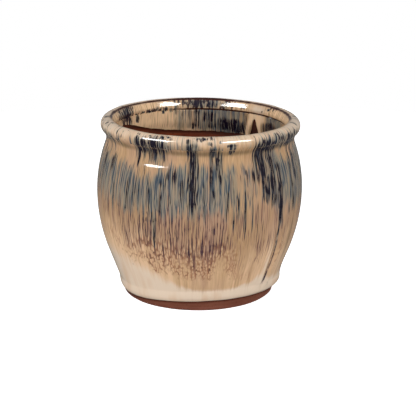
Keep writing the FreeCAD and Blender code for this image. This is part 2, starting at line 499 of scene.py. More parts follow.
# Grey-blue washes on the rim: the same
RIM_WASHES = [
    (-28, 11.0, 17.0, 7.0, 1.3),
    (-5, 4.0, 18.0, 8.0, 1.0),
    (8, 4.0, 22.0, 6.0, 0.9),
    (41, 10.0, 19.0, 8.0, 1.2),
    (60, 15.0, 17.0, 8.0, 0.8),
    (178, 16.0, -10.0, 7.0, 0.8),
    (-117, 9.0, -13.0, 8.0, 0.7),
]
# Drips inside, which part below a shared patch of cream: azimuth at the top, azimuth at the tip, half width
# (degrees), length (millimetres)
DRIPS = [(140.6, 146.0, 1.8, 24.0), (134.2, 135.0, 1.7, 17.0)]
DRIP_PATCH = 135.5
# That patch on the rim: azimuth, half width (degrees), way from the crest, half way (millimetres)
RIM_PATCH = (DRIP_PATCH, 9.0, -12.0, 8.0)
# Lone places inside, and the last two on the rim: azimuth, half width (degrees)
BAND_PATCH = (DRIP_PATCH, 7.5)
# The band's left: amber glaze, brightened as painted light
LIT_BAND_SIDE = (-142.0, 38.0)
FLECKS = (-117.0, 9.0)
THIN_EDGE = (148.0, 18.0)
# Painted shade on the bare clay inside, on its right side
SHADED_CLAY_SIDE = (142.0, 26.0)
WIDE_LINE = (176.0, 18.0)
FULL_FACE = (-171.0, 7.0)
# Grey-blue washes on the inner band: azimuth, half width (degrees), strength
BAND_WASHES = [(166, 25.0, 0.95), (117, 14.0, 0.9), (-167, 10.0, 0.5)]
# Where the inner band's lower edge is lifted: azimuth, half width (degrees), height (millimetres)
BAND_LIFTS = [(-108, 36.0, 21.0), (138.2, 3.4, 22.0), (112, 16.0, 9.0), (0, 70.0, 9.0)]
# The run at the lower right has a ridge at each side and a valley between. Relief: degrees to the right of
# its middle, half width (degrees), height (millimetres). Painted highlights on the ridges: the same, with a
# strength as the last.
RUN_AZIMUTH = 48.9
RUN_RELIEF = [(4.0, 2.0, 2.8), (-4.2, 2.2, 2.4), (0.0, 1.0, -0.6)]
RUN_HIGHLIGHTS = [(-4.4, 2.4, 1.0), (4.4, 1.8, 0.8)]
RUN_VALLEY = 1.0
# Heights over which the run's relief and the dark line in its valley set in and end, and over which the
# painted highlights on its ridges end (millimetres)
RUN_RISE = (16.0, 28.0)
RUN_FALL = (70.0, 125.0)
VALLEY_RISE = (19.0, 27.0)
VALLEY_FALL = (90.0, 120.0)
RIDGE_FALL = (50.0, 115.0)
# Painted shade beside the run, by its right ridge: azimuth, half width (degrees), and heights as above
RUN_SHADE = (63.5, 3.0)
SHADE_RISE = (24.0, 74.0)
SHADE_FALL = (74.0, 140.0)
# Swellings: azimuth, half width (degrees), height above the floor, half height (millimetres)
ROLL_LUMP = (80.0, 14.0, 21.0, 8.0)
THROWING_RING = (-30.0, 14.0, 176.5, 3.0)
# Heights over which bubbles end (millimetres), and where some lack: azimuth, half width (degrees), share.
# The first is the back, where the unrolled way round ends.
BUBBLE_FALL = (80.0, 112.0)
FEW_BUBBLES = [(180.0, 7.0, 1.0), (36.0, 17.0, 0.7)]
# Runs left to chance lie between these azimuths (degrees). Some come from the rim: the height that they start
# above, their way from the crest (millimetres), and the azimuths between which they lie
BEHIND = (82.0, 282.0)
FROM_RIM_ABOVE = 192.0
FROM_RIM_WAY = (9.0, 29.0)
FROM_RIM_BEHIND = (100.0, 260.0)
# What the glaze reads at each point
MARKS = ("ink", "haze", "threads", "drips", "bubbles", "peach", "cream", "amber", "pool", "fleck", "worn")


def runs_behind():
    """Runs for the side of the pot that turns away from the viewer."""
    chance = random.Random(7)
    runs = []
    azimuth, end = BEHIND
    while azimuth < end:
        top = chance.uniform(176, 209)
        foot = top - chance.uniform(30, 70)
        runs.append((azimuth, chance.uniform(1.5, 5.0), top, foot, chance.uniform(0.6, 1.0)))
        azimuth += chance.uniform(6.0, 13.0)
    return runs


RUNS_BEHIND = runs_behind()
OUTSIDE_RUNS += RUNS_BEHIND
RIM_RUNS += [
    (azimuth, half_width, *FROM_RIM_WAY, strength)
    for azimuth, half_width, top, _, strength in RUNS_BEHIND
    if top > FROM_RIM_ABOVE and FROM_RIM_BEHIND[0] < azimuth < FROM_RIM_BEHIND[1]
]


def all_marks(points, **marks):
    """Every mark that the glaze reads: the ones given, and nothing for the rest."""
    return {name: marks.get(name, np.zeros(len(points.height))) for name in MARKS}


def patch(points, along, azimuth, half_width, middle, half_length):
    """1 in the middle of a patch, fading away over half its width in degrees and half its length."""
    return points.near(azimuth, half_width) * bump(along - middle * MM, half_length * MM)


def blotched(points, blotches):
    """Blotches, placed by azimuth and by the way from the rim's crest, added up."""
    return sum(strength * patch(points, points.drop, *sizes) for *sizes, strength in blotches)


def band_at(points, band):
    """The sizes of a band of colour at each point's azimuth."""
    azimuth, *sizes = zip(*band)
    return [np.interp(np.degrees(points.azimuth), azimuth, size, period=360.0) for size in sizes]


def along_run(points, ridges):
    """Ridges along the run of glaze, placed by degrees beside its middle, added up."""
    return sum(size * points.near(RUN_AZIMUTH + offset, half_width) for offset, half_width, size in ridges)


def ink_density(points):
    """Strength of the blue-black glaze: at each point that of the strongest run."""
    density = np.zeros(len(points.height))
    ragged = points.wobble(5.0 * MM, 3.0, 0.0)
    level = points.height / MM
    outside = smooth(0.0, 3.0 * MM, points.drop)
    for azimuth, half_width, top, foot, strength in OUTSIDE_RUNS:
        upper = 1.0 - smooth(top - 7.0, top + 6.0, level + 7.0 * ragged)
        lower = smooth(foot - 12.0, foot + 12.0, level + 16.0 * ragged)
        run = strength * points.near(azimuth, half_width) * upper * lower * outside
        density = np.maximum(density, run)
    way = points.drop / MM
    for azimuth, half_width, start, end, strength in RIM_RUNS:
        soft = min(5.0, 0.3 * (end - start))
        along = within(way, (start - soft, start + soft), (end - soft, end + soft))
        density = np.maximum(density, strength * points.near(azimuth, half_width) * along)
    return density


def glaze_edge(points):
    """Height of the outer glaze's lower edge: it hangs highest at the front."""
    high = EDGE_HIGH - EDGE_SINKS * (1.0 - np.cos(points.away(EDGE_AZIMUTH)))
    above_low = EDGE_BLEND * np.log1p(np.exp((high - EDGE_LOW) / EDGE_BLEND))
    return EDGE_LOW + above_low + 0.5 * MM * points.wobble(35.0 * MM, 9.0, 0.0)


def outer_relief(points):
    """Relief of the outer coat: slow unevenness, the run, a swelling of the roll and a throwing ring."""
    slow = 0.22 * MM * points.wobble(55.0 * MM, 0.0, 0.6) + 0.07 * MM * points.wobble(14.0 * MM)
    run = within(points.height / MM, RUN_RISE, RUN_FALL) * along_run(points, RUN_RELIEF)
    lump = 2.6 * patch(points, points.height, *ROLL_LUMP)
    ring_height = 0.60 + 0.12 * points.wobble(6.0 * MM, 3.0, 0.0)
    ring = ring_height * patch(points, points.height, *THROWING_RING)
    return slow + MM * (run + lump + ring)


def crease_pool(points):
    """Darker glaze in the crease under the rim: glaze that gathered there, and painted shade under the rim's
    bead.
    """
    uneven = 0.75 + 0.3 * points.wobble(25.0 * MM, 14.0)
    return uneven * bump(points.height - CREASE_HEIGHT, CREASE_HALF)


def outer_marks(points):
    """Marks of the outer coat: the belt, the streaks and bubbles below it, the cream roll and the run, and
    painted light.
    """
    level = points.height / MM + 7.0 * points.wobble(20.0 * MM, 5.0)
    level += 10.0 * points.wobble(5.0 * MM, 3.0, 0.0)
    ink = ink_density(points)

    top, foot, strength = band_at(points, BELT)
    belt = strength * within(level, (foot - 32.0, foot + 14.0), (top - 16.0, top + 12.0))
    haze = np.maximum(belt, 0.8 * ink)

    top, foot, strength = band_at(points, STREAKS)
    uneven = level + 8.0 * points.wobble(11.0 * MM, 17.0, 0.2)
    fading = 1.0 - smooth(top - 10.0, top + 26.0, level)
    threads = strength * smooth(foot - 4.0, foot + 50.0, uneven) * fading
    clusters = 0.75 + 0.5 * points.wobble(17.0 * MM, 21.0)
    drips = clusters * strength * within(level, (foot - 10.0, foot + 12.0), BUBBLE_FALL)
    missing = sum(share * points.near(azimuth, half_width) for azimuth, half_width, share in FEW_BUBBLES)

    top, fade, warmth = band_at(points, CREAM)
    # Peach on the pot's lower, downward-facing part: partly the glaze's own, partly painted bounce light from
    # the floor
    peach = warmth * (1.0 - smooth(48.0, 100.0 + 45.0 * warmth, level))
    calm_level = points.height / MM + 2.5 * points.wobble(16.0 * MM, 2.0)
    cream = 1.25 * (1.0 - smooth(top - 0.35 * fade, top + fade, calm_level))
    # Painted highlights, in cream, on the run's ridges
    ridge_highlights = along_run(points, RUN_HIGHLIGHTS) * (1.0 - smooth(*RIDGE_FALL, calm_level))
    in_valley = points.near(RUN_AZIMUTH, RUN_VALLEY) * within(calm_level, VALLEY_RISE, VALLEY_FALL)
    # Painted shade beside the run's right ridge
    shade_beside_run = points.near(*RUN_SHADE) * within(calm_level, SHADE_RISE, SHADE_FALL)
    return all_marks(
        points,
        ink=ink,
        haze=haze,
        threads=np.maximum(threads, 1.9 * in_valley),
        drips=drips,
        bubbles=drips * (1.0 - missing),
        peach=peach,
        # The cream roll, and cream painted as highlights on the run's ridges
        cream=np.maximum(cream, 0.5 * ridge_highlights),
        # Pooled glaze and painted shade in the crease under the rim, and painted shade beside the run
        pool=np.maximum(crease_pool(points), 0.75 * shade_beside_run),
    )


def worn_lines(points, behind):
    """Lines where the glaze drew back from the clay: the crest behind, and the inner edge at the right."""
    at_back = points.near(*WIDE_LINE)
    half_width = (1.6 + 1.4 * at_back + 0.5 * points.wobble(9.0 * MM, 1.0, 0.0)) * MM
    off_line = np.abs(points.drop + (4.0 - 1.0 * at_back) * MM)
    crest = behind * (1.0 - smooth(half_width - 0.5 * MM, half_width + 0.7 * MM, off_line))
    turn = np.degrees(points.azimuth) % 360.0
    inner_side = within(turn, (92.0, 104.0), (188.0, 204.0))
    above_edge = points.drop + CREST_TO_INNER_EDGE
    edge = 1.0 - smooth(2.0 * MM, 3.2 * MM, above_edge)
    return np.maximum(crest, edge * inner_side)


def rim_marks(points):
    """Marks of the rim's coat: runs, flecks and washes, cream on top, amber and worn lines inside, and
    painted shade in the crease.
    """
    ink = ink_density(points)
    faint = 0.16 + 0.20 * points.wobble(18.0 * MM, 25.0)
    from_front = np.degrees(np.abs(points.azimuth))
    behind = smooth(74.0, 88.0, from_front)
    on_top = (0.8 + 0.4 * smooth(40.0, 80.0, from_front)) * bump(points.drop - 5.0 * MM, 11.0 * MM)
    above_drips = patch(points, points.drop, *RIM_PATCH)
    cream = np.maximum(on_top, above_drips)
    inside = 1.0 - smooth(-9.0 * MM, -3.0 * MM, points.drop)
    return all_marks(
        points,
        ink=ink,
        haze=np.maximum(1.1 * ink, faint + blotched(points, RIM_WASHES)),
        peach=1.2 * cream,
        cream=0.7 * cream,
        amber=0.7 * behind * inside * (1.0 - above_drips),
        # Glaze pooled in the crease, and painted shade under the rim's bead
        pool=crease_pool(points) * (points.drop > 0.0),
        fleck=0.40 + 0.35 * points.wobble(30.0 * MM, 8.0) + blotched(points, BLOTCHES),
        worn=worn_lines(points, behind),
    )


def drip_share(points, drip, spread):
    """Nearness to a drip's middle line, which may slant on its way down."""
    top, tip, half_width, _ = drip
    way = smooth(SEAM_HEIGHT, BAND_FOOT, points.height)
    off = points.away(top) - radians(tip - top) * way
    return bump(off, radians(spread * half_width) * (1.25 - 0.6 * way))


def band_foot(points):
    """Height of the inner glaze's ragged lower edge: lowest at the back, lower again in the drips."""
    lift = sum(height * points.near(azimuth, half_width) for azimuth, half_width, height in BAND_LIFTS)
    lift += 1.2 * points.wobble(22.0 * MM, 11.0, 0.0) + 0.8 * points.wobble(6.0 * MM, 12.0, 0.0)
    edge = BAND_FOOT + MM * lift
    for drip in DRIPS:
        length = drip[-1] * MM
        edge -= length * drip_share(points, drip, 1.0)
    return np.clip(edge, BAND_FOOT - 4.0 * MM, SEAM_HEIGHT - 4.0 * MM)


def band_marks(points):
    """Marks of the band inside: runs and washes, cream drips, amber at the left, partly painted light, and a
    thick, pale edge.
    """
    ink = ink_density(points)
    haze = 0.8 * ink
    for azimuth, half_width, strength in BAND_WASHES:
        haze = np.maximum(haze, strength * points.near(azimuth, half_width))
    cream = points.near(*BAND_PATCH) * smooth(187.0 * MM, 196.0 * MM, points.height)
    for drip in DRIPS:
        cream = np.maximum(cream, drip_share(points, drip, 1.2))
    thick = np.clip(0.5 + 0.9 * points.wobble(10.0 * MM, 29.0, 0.0), 0.0, 1.0)
    thick *= 1.0 - points.near(*THIN_EDGE)
    edge = thick * bump(points.height - band_foot(points), 3.5 * MM)
    uncovered = (1.0 - cream) * (1.0 - 0.7 * edge)
    drips = 0.18 + 0.45 * points.wobble(12.0 * MM, 27.0)
    return all_marks(
        points,
        ink=ink * uncovered,
        haze=haze * uncovered,
        drips=drips * (1.0 - cream) * (1.0 - edge),
        peach=np.maximum(cream, edge),
        cream=0.6 * cream,
        # Amber at the band's left and over the drips: partly painted light that lifts them out of the
        # inside's shade
        amber=np.maximum(points.near(*LIT_BAND_SIDE), 0.8 * cream),
        fleck=1.25 * points.near(*FLECKS),
    )


def wall_radius(height):
    """Radius of the bare inner wall by height, over neck and shoulder."""
    rise = np.minimum(np.abs(height - NECK_CENTRE.z), NECK_RISE)
    neck = NECK_CENTRE.x - np.sqrt((NECK_ARC + INSIDE) ** 2 - rise**2)
    shoulder = SHOULDER_CENTRE.x + np.sqrt((SHOULDER_ARC - INSIDE) ** 2 - (height - BELLY_HEIGHT) ** 2)
    meeting = NECK_CENTRE.z - (NECK_ARC + INSIDE) * sin(SHOULDER_ANGLE)
    return np.where(height > meeting, neck, shoulder)


# Materials
def srgb(text):
    channels = [int(text[start:start + 2], 16) / 255.0 for start in (1, 3, 5)]
    linear = [value / 12.92 if value <= 0.04045 else ((value + 0.055) / 1.055) ** 2.4 for value in channels]
    return (*linear, 1.0)


def add(tree, kind, inputs, output=0, **settings):
    """Add a node with its settings, set or link its inputs, and give back one of its outputs."""
    node = tree.nodes.new(kind)
    for name, value in settings.items():
        setattr(node, name, value)
    for key, value in inputs.items():
        if isinstance(value, bpy.types.NodeSocket):
            tree.links.new(value, node.inputs[key])
        else:
            node.inputs[key].default_value = value
    return node.outputs[output]


def new_material(name, values):
    """A material whose shader has some plain values set."""
    material = bpy.data.materials.new(name)
    material.use_nodes = True
    shader = material.node_tree.nodes["Principled BSDF"]
    for key, value in values.items():
        shader.inputs[key].default_value = value
    return material, material.node_tree, shader


# Node kinds by the part they play
NOISE = "ShaderNodeTexNoise"
CELLS = "ShaderNodeTexVoronoi"
RANGE = "ShaderNodeMapRange"
MATH = "ShaderNodeMath"
VECTOR = "ShaderNodeVectorMath"
BLEND = "ShaderNodeMix"
ATTRIBUTE = "ShaderNodeAttribute"
SOFT = {"interpolation_type": "SMOOTHSTEP"}
COLOUR = {"output": 2, "data_type": "RGBA"}

# Widths of the glaze's patterns (millimetres). Threads are drawn coarser than real ones, so that they show.
THREAD = 1.2
STREAK = 4.0
SPLASH = 4.5
CLOUD = 26.0
SWAY = 40.0
BUBBLE = 2.8
BUBBLE_BEND = 6.0

# Widths in the bare clay. The grit, too, is drawn coarser than the real one, so that it shows.
CLAY_RINGS = 30.0 * MM
CLAY_GRIT = 2.2 * MM


def drawn_out(tree, flow, share, width, detail):
    """Noise whose lumps are one width across and drawn out down the pot, as the glaze ran."""
    stretched = add(tree, VECTOR, {0: flow, 1: (1.0, 1.0, share)}, operation="MULTIPLY")
    return add(tree, NOISE, {"Vector": stretched, "Scale": 1.0 / width, "Detail": detail, "Roughness": 0.55})


def glaze_layer(tree, below, colour, cover, mark, pattern, pull, low, high, broken_by=None, gaps=0.0):
    """Lay one colour of glaze over another where its mark, frayed by a pattern, is strong enough.
    A second pattern may break the layer up, down to a share of its cover."""
    fraying = add(tree, MATH, {0: pattern, 1: pull, 2: 1.0 - 0.5 * pull}, operation="MULTIPLY_ADD")
    frayed = add(tree, MATH, {0: fraying, 1: mark}, operation="MULTIPLY")
    share = add(tree, RANGE, {"Value": frayed, "From Min": low, "From Max": high, "To Max": cover}, **SOFT)
    if broken_by is not None:
        broken = {"Value": broken_by, "From Min": 0.36, "From Max": 0.62, "To Min": 1.0 - gaps}
        share = add(tree, MATH, {0: share, 1: add(tree, RANGE, broken, **SOFT)}, operation="MULTIPLY")
    return add(tree, BLEND, {0: share, 6: below, 7: srgb(colour)}, **COLOUR)


def bubble_marks(tree, bubbles):
    """Marks for the bubbles that streaks end in: cells with dark seams, and the cells' pale middles."""
    unrolled = add(tree, ATTRIBUTE, {}, "Vector", attribute_name="unrolled")
    bend = add(tree, NOISE, {"Vector": unrolled, "Scale": 1.0 / BUBBLE_BEND, "Detail": 1.0}, "Color")
    bent = add(tree, VECTOR, {0: bend, 1: (3.0, 3.0, 0.0), 2: unrolled}, operation="MULTIPLY_ADD")
    cell = add(tree, CELLS, {"Vector": bent, "Scale": 1.0 / BUBBLE}, "Distance", voronoi_dimensions="2D")
    marks = []
    for start, end in ((0.32, 0.60), (0.34, 0.10)):
        share = add(tree, RANGE, {"Value": cell, "From Min": start, "From Max": end}, **SOFT)
        marks.append(add(tree, MATH, {0: share, 1: bubbles}, operation="MULTIPLY"))
    return marks


def reactive_glaze():
    # Glossy glaze fired on a slope: iron and cobalt rose through a tan base, ran down in threads and broke
    # into blue-black streaks with grey-blue fringes, umber bubbles lower down and a thick cream roll.
    material, tree, shader = new_material("reactive_glaze", {"Roughness": 0.09, "IOR": 1.45})
    mark = {name: add(tree, ATTRIBUTE, {}, "Fac", attribute_name=name) for name in MARKS}
    flow = add(tree, ATTRIBUTE, {}, "Vector", attribute_name="flow")
    sway = add(tree, NOISE, {"Vector": flow, "Scale": 1.0 / SWAY, "Detail": 2.0}, "Color")
    flowing = add(tree, VECTOR, {0: sway, 1: (4.0, 4.0, 0.0), 2: flow}, operation="MULTIPLY_ADD")
    wide = drawn_out(tree, flowing, 0.05, STREAK, 2.0)
    line = drawn_out(tree, flowing, 0.03, THREAD, 1.0)
    cloud = drawn_out(tree, flowing, 0.40, CLOUD, 2.0)
    splash = drawn_out(tree, flowing, 0.45, SPLASH, 2.0)
    part = add(tree, MATH, {0: line, 1: 0.58}, operation="MULTIPLY")
    grain = add(tree, MATH, {0: splash, 1: 0.42, 2: part}, operation="MULTIPLY_ADD")
    cell_seam, cell_middle = bubble_marks(tree, mark["bubbles"])
    trailing = add(tree, MATH, {0: mark["haze"], 1: 0.6}, operation="POWER")

    tan_share = add(tree, RANGE, {"Value": line, "From Min": 0.3, "From Max": 0.7})
    colour = add(tree, BLEND, {0: tan_share, 6: srgb("#AC8863"), 7: srgb("#D0AB82")}, **COLOUR)
    pink_share = add(tree, RANGE, {"Value": cloud, "From Min": 0.42, "From Max": 0.68, "To Max": 0.5})
    colour = add(tree, BLEND, {0: pink_share, 6: colour, 7: srgb("#B99480")}, **COLOUR)
    # Layers over the tan, lowest first: colour, cover, mark, pattern that frays it, its pull, and strengths
    # at which the layer sets in and is full. The belt's haze is broken up by threads as well.
    for layer in (
        # Peach and cream above the foot and on the rim, amber inside, each also used as painted light:
        # peach as bounce light low on the pot, cream as highlights on the run's ridges, amber on the band's
        # left and drips
        ("#E3BF9A", 1.0, mark["peach"], wide, 2.2, 0.10, 1.0),
        ("#E6D3BE", 0.92, mark["cream"], wide, 2.0, 0.08, 0.98),
        ("#D9B796", 0.5, mark["cream"], cloud, 6.0, 1.1, 2.4),
        ("#FFD8AC", 0.95, mark["amber"], line, 4.0, 0.05, 0.9),
        # Below the belt: bubbles with dark seams and pale middles, violet and umber threads that end in them
        ("#96796A", 0.15, mark["threads"], wide, 3.0, 0.15, 0.9),
        ("#96694E", 0.7, cell_seam, splash, 3.0, 0.10, 0.65),
        ("#553C3D", 0.8, cell_seam, splash, 4.0, 0.52, 1.25),
        ("#DDB98E", 0.6, cell_middle, splash, 2.0, 0.10, 0.60),
        ("#A06C52", 0.6, mark["drips"], line, 9.0, 0.45, 1.30),
        ("#6A4C4A", 0.8, mark["threads"], line, 9.0, 0.50, 1.25),
        ("#3C2E3A", 0.9, mark["threads"], grain, 9.0, 0.95, 1.65),
        # The grey-blue belt, pooled glaze and painted shade in the crease and beside the run, and the
        # blue-black glaze
        ("#788078", 0.9, mark["haze"], wide, 3.0, 0.20, 0.80, line, 0.4),
        ("#364454", 0.9, trailing, line, 8.5, 0.68, 1.45),
        ("#6A5840", 0.75, mark["pool"], wide, 1.0, 0.10, 1.00),
        ("#2A3440", 0.9, mark["ink"], line, 4.5, 0.35, 0.90),
        ("#17111F", 1.0, mark["ink"], grain, 7.0, 0.60, 1.10),
        ("#231C2C", 0.9, mark["fleck"], splash, 5.0, 0.78, 1.2),
    ):
        colour = glaze_layer(tree, colour, *layer)
    colour = add(tree, BLEND, {0: mark["worn"], 6: colour, 7: srgb("#3E1810")}, **COLOUR)

    ripple = add(tree, "ShaderNodeBump", {"Height": line, "Distance": 0.10 * MM, "Strength": 0.3})
    tree.links.new(colour, shader.inputs["Base Color"])
    tree.links.new(ripple, shader.inputs["Normal"])
    return material


def bare_terracotta(name, light, dark, speckle):
    # Unglazed red earthenware, turned and sponged: matte, with fine grit, faint rings, darker iron specks and
    # painted shade
    material, tree, shader = new_material(name, {"Roughness": 0.9, "Specular IOR Level": 0.15})
    where = add(tree, "ShaderNodeTexCoord", {}, "Object")
    flat = add(tree, "ShaderNodeMapping", {"Vector": where, "Scale": (1.0, 1.0, 6.0)})
    rings = add(tree, NOISE, {"Vector": flat, "Scale": 1.0 / CLAY_RINGS, "Detail": 3.0})
    grit = add(tree, NOISE, {"Vector": where, "Scale": 1.0 / CLAY_GRIT, "Detail": 3.0})
    tone = add(tree, RANGE, {"Value": rings, "From Min": 0.3, "From Max": 0.7})
    colour = add(tree, BLEND, {0: tone, 6: srgb(dark), 7: srgb(light)}, **COLOUR)
    speck = add(tree, RANGE, {"Value": grit, "From Min": 0.58, "From Max": 0.75, "To Max": 0.6})
    colour = add(tree, BLEND, {0: speck, 6: colour, 7: srgb(speckle)}, **COLOUR)
    # Painted shade, where a piece stores it, darkens the clay to the speckle colour
    painted_shade = add(tree, ATTRIBUTE, {}, "Fac", attribute_name="painted_shade")
    colour = add(tree, BLEND, {0: painted_shade, 6: colour, 7: srgb(speckle)}, **COLOUR)
    rough = add(tree, "ShaderNodeBump", {"Height": grit, "Distance": 0.25 * MM, "Strength": 0.6})
    tree.links.new(colour, shader.inputs["Base Color"])
    tree.links.new(rough, shader.inputs["Normal"])
    return material


GLAZED = reactive_glaze()
FOOT_CLAY = bare_terracotta("bare_terracotta", "#7F4C3B", "#6A3B2B", "#4A261A")
# The inside's clay: a darker copy of the terracotta, painted shade for the inside of the pot
SHADED_INSIDE_CLAY = bare_terracotta("shaded_terracotta", "#9A4A26", "#58230D", "#2E1005")


# Pieces, from the foot up
UP = np.array((0.0, 0.0, 1.0))


def turned_foot():
    edge_round = 0.5 * MM
    outside = cone(0.0, GLAZE).x
    ring_inside = outside - FOOT_RING
    section = Section(place(DRAIN_RADIUS, FOOT_RECESS))
    section.to(place(ring_inside, FOOT_RECESS), 8)
    section.to(place(ring_inside, 0.0), 2)
    section.to(place(outside - edge_round, 0.0), 6)
    section.to(cone(edge_round, GLAZE), 2)
    section.to(cone(SLAB_TOP, GLAZE), 10)
    section.to(place(DRAIN_RADIUS, SLAB_TOP), 24)
    section.close(4)
    section.mark(0, len(section.line), 0.0)
    points = Points(turned("turned_foot", section, CLAY_AROUND))
    side = (points.height < SLAB_TOP - edge_round) & (points.reach > outside - 3.0 * MM)
    splay = FOOT_SPLAY - FOOT_TUCK * smooth(0.0, FOOT_TUCKED, points.height)
    splay += 0.3 * MM * points.wobble(18.0 * MM)
    points.place += points.outwards * (splay * side)[:, None]
    edge = glaze_edge(points)
    # Painted shadow on the foot's clay just under the glaze's lower edge
    points.store({"painted_shade": smooth(edge - 4.5 * MM, edge - 0.5 * MM, points.height)})
    finish_piece(points, FOOT_CLAY, ["base_slab"])


def thrown_wall():
    section = Section(cone(SLAB_TOP, GLAZE))
    section.to(polar(LOWER_CENTRE, LOWER_ARC - GLAZE, -CONE_ANGLE), 6)
    section.arc(LOWER_CENTRE, CONE_ANGLE, 10)
    section.arc(SHOULDER_CENTRE, SHOULDER_ANGLE, 8)
    section.arc(NECK_CENTRE, -(SHOULDER_ANGLE + NECK_ANGLE), 5)
    section.to(seam(INSIDE))
    first_shown = len(section.line)
    section.arc(NECK_CENTRE, neck_turn(INSIDE), 12)
    section.arc(SHOULDER_CENTRE, -SHOULDER_ANGLE, 40)
    section.arc(LOWER_CENTRE, -CONE_ANGLE, 46)
    section.to(cone(SLAB_TOP, INSIDE), 28)
    last_shown = len(section.line) - 2
    section.close()
    section.mark(first_shown, last_shown, 0.0)
    points = Points(turned("thrown_wall", section, CLAY_AROUND))
    ring = np.sin(2.0 * pi * points.height / RING_PITCH + points.azimuth)
    below_band = smooth(BAND_FOOT - 2.0 * MM, BAND_FOOT - 8.0 * MM, points.height)
    points.raise_by((0.22 * MM * ring + 0.25 * MM * points.wobble(30.0 * MM)) * below_band)
    edge = band_foot(points)
    # Painted shade on the bare clay under the band's edge and on the inside's right side
    shade_under_band = 0.8 * smooth(edge - 9.0 * MM, edge, points.height)
    points.store({"painted_shade": np.maximum(shade_under_band, 0.9 * points.near(*SHADED_CLAY_SIDE))})
    finish_piece(points, SHADED_INSIDE_CLAY, ["clay_wall"])


def rolled_rim():
    section = Section(polar(BEAD_CENTRE, BEAD - GLAZE, -NECK_ANGLE))
    section.arc(BEAD_CENTRE, pi + 2.0 * NECK_ANGLE, 20)
    section.close(3)
    section.mark(0, 0, 0.0)
    finish_piece(Points(turned("rolled_rim", section, CLAY_AROUND)), FOOT_CLAY, ["rim_coil"])


def outer_glaze_coat():
    foot = cone(GLAZE_LINE, GLAZE)
    roll_top = cone(ROLL_HEIGHT, 0.0)
    chord = roll_top - foot
    sideways = Vector((-chord.z, 0.0, chord.x)).normalized()
    roll_centre = (foot + roll_top) / 2.0 + sideways * sqrt(ROLL_ARC**2 - chord.length_squared / 4.0)
    section = Section(foot)
    section.arc(roll_centre, 2.0 * asin(chord.length / 2.0 / ROLL_ARC), 14)
    section.to(polar(LOWER_CENTRE, LOWER_ARC, -CONE_ANGLE), 20)
    section.arc(LOWER_CENTRE, CONE_ANGLE, 44)
    section.arc(SHOULDER_CENTRE, SHOULDER_ANGLE, 38)
    section.arc(NECK_CENTRE, -(SHOULDER_ANGLE + NECK_ANGLE), 14)
    last_shown = len(section.line) - 1
    shown_length = section.length()
    section.to(polar(BEAD_CENTRE, BEAD - GLAZE, -NECK_ANGLE))
    section.arc(NECK_CENTRE, SHOULDER_ANGLE + NECK_ANGLE, 4)
    section.arc(SHOULDER_CENTRE, -SHOULDER_ANGLE, 5)
    section.arc(LOWER_CENTRE, -CONE_ANGLE, 6)
    section.close(4)
    section.mark(0, last_shown, CREST_TO_NECK + shown_length)
    points = Points(turned("outer_glaze_coat", section, AROUND))
    points.store(outer_marks(points))
    above = points.height - GLAZE_LINE
    lip = EDGE_LIP * within(above, (0.0, EDGE_LIP), (3.0 * MM, 12.0 * MM))
    points.raise_by(lip + outer_relief(points) * smooth(0.0, 4.0 * MM, above))
    lift = (glaze_edge(points) - GLAZE_LINE) * (1.0 - smooth(20.0 * MM, 45.0 * MM, points.height))
    along_cone = tan(CONE_ANGLE) * points.outwards + UP
    points.place += lift[:, None] * along_cone
    finish_piece(points, GLAZED, ["outer_glaze", "glaze_run"])


def rim_glaze_coat():
    section = Section(polar(BEAD_CENTRE, BEAD, -NECK_ANGLE))
    section.arc(BEAD_CENTRE, NECK_ANGLE + pi + INNER_EDGE_ANGLE, 40)
    last_shown = len(section.line) - 1
    section.to(polar(BEAD_CENTRE, BEAD - GLAZE, pi + NECK_ANGLE))
    section.arc(BEAD_CENTRE, -(pi + 2.0 * NECK_ANGLE), 14)
    section.close()
    section.mark(0, last_shown, CREST_TO_NECK)
    points = Points(turned("rim_glaze_coat", section, AROUND))
    points.store(rim_marks(points))
    at_neck = smooth(CREST_TO_NECK - 6.0 * MM, CREST_TO_NECK, points.drop)
    uneven = 0.25 * MM * points.wobble(30.0 * MM, 4.0) + 0.06 * MM * points.wobble(9.0 * MM, 6.0)
    off_face = (points.drop + BEAD * FACE_ANGLE) / (BEAD * FACE_HALF)
    flat = (0.8 - 0.6 * points.near(*FULL_FACE)) * MM
    uneven -= flat * np.clip(1.0 - off_face**2, 0.0, 1.0)
    points.raise_by(uneven * (1.0 - at_neck) + outer_relief(points) * at_neck)
    finish_piece(points, GLAZED, ["rim_glaze"])


